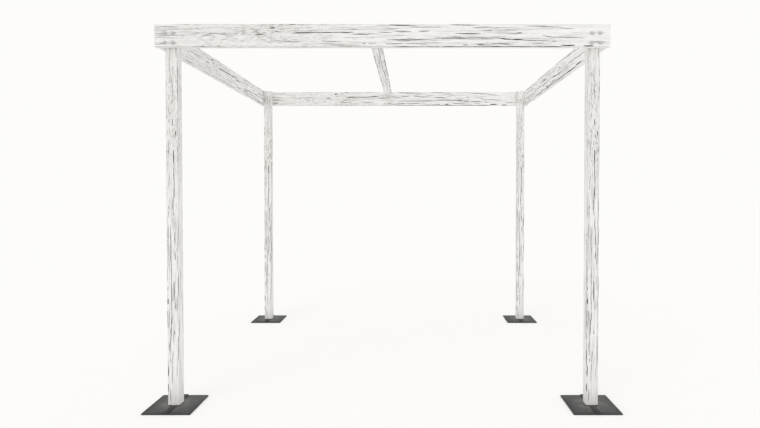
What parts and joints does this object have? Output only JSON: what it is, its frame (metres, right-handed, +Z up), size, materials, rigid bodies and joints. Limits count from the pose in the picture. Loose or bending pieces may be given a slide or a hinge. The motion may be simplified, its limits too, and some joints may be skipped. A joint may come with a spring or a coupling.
{
  "type": "open timber cabana frame",
  "caption": "Open square cabana frame of limewashed timber: corner posts on dark steel plates, a ring of boards screwed round their tops and one flat rafter across.",
  "frame": {"origin": "on the floor, at the middle of the plan", "axes": "+X to the right and +Z up; the front faces -Y and the rafter runs along Y"},
  "size_m": [3.14, 3.2, 2.56],
  "materials": {
    "limewashed_timber": "weathered softwood under a worn white limewash, matt",
    "plate_steel": "dark grey satin coating",
    "bar_steel": "darker grey satin coating",
    "screw_steel": "dull dark grey zinc"
  },
  "bodies": {
    "root": {"front_left_post": "limewashed_timber", "front_right_post": "limewashed_timber", "back_left_post": "limewashed_timber", "back_right_post": "limewashed_timber", "front_board": "limewashed_timber", "back_board": "limewashed_timber", "left_board": "limewashed_timber", "right_board": "limewashed_timber", "rafter": "limewashed_timber", "front_left_plate": "plate_steel", "front_right_plate": "plate_steel", "back_left_plate": "plate_steel", "back_right_plate": "plate_steel", "front_left_foot": "bar_steel", "front_right_foot": "bar_steel", "back_left_foot": "bar_steel", "back_right_foot": "bar_steel", "front_board_left_screws": "screw_steel", "front_board_right_screws": "screw_steel", "back_board_left_screws": "screw_steel", "back_board_right_screws": "screw_steel", "left_board_front_screws": "screw_steel", "left_board_back_screws": "screw_steel", "right_board_front_screws": "screw_steel", "right_board_back_screws": "screw_steel"}
  },
  "joints": []
}
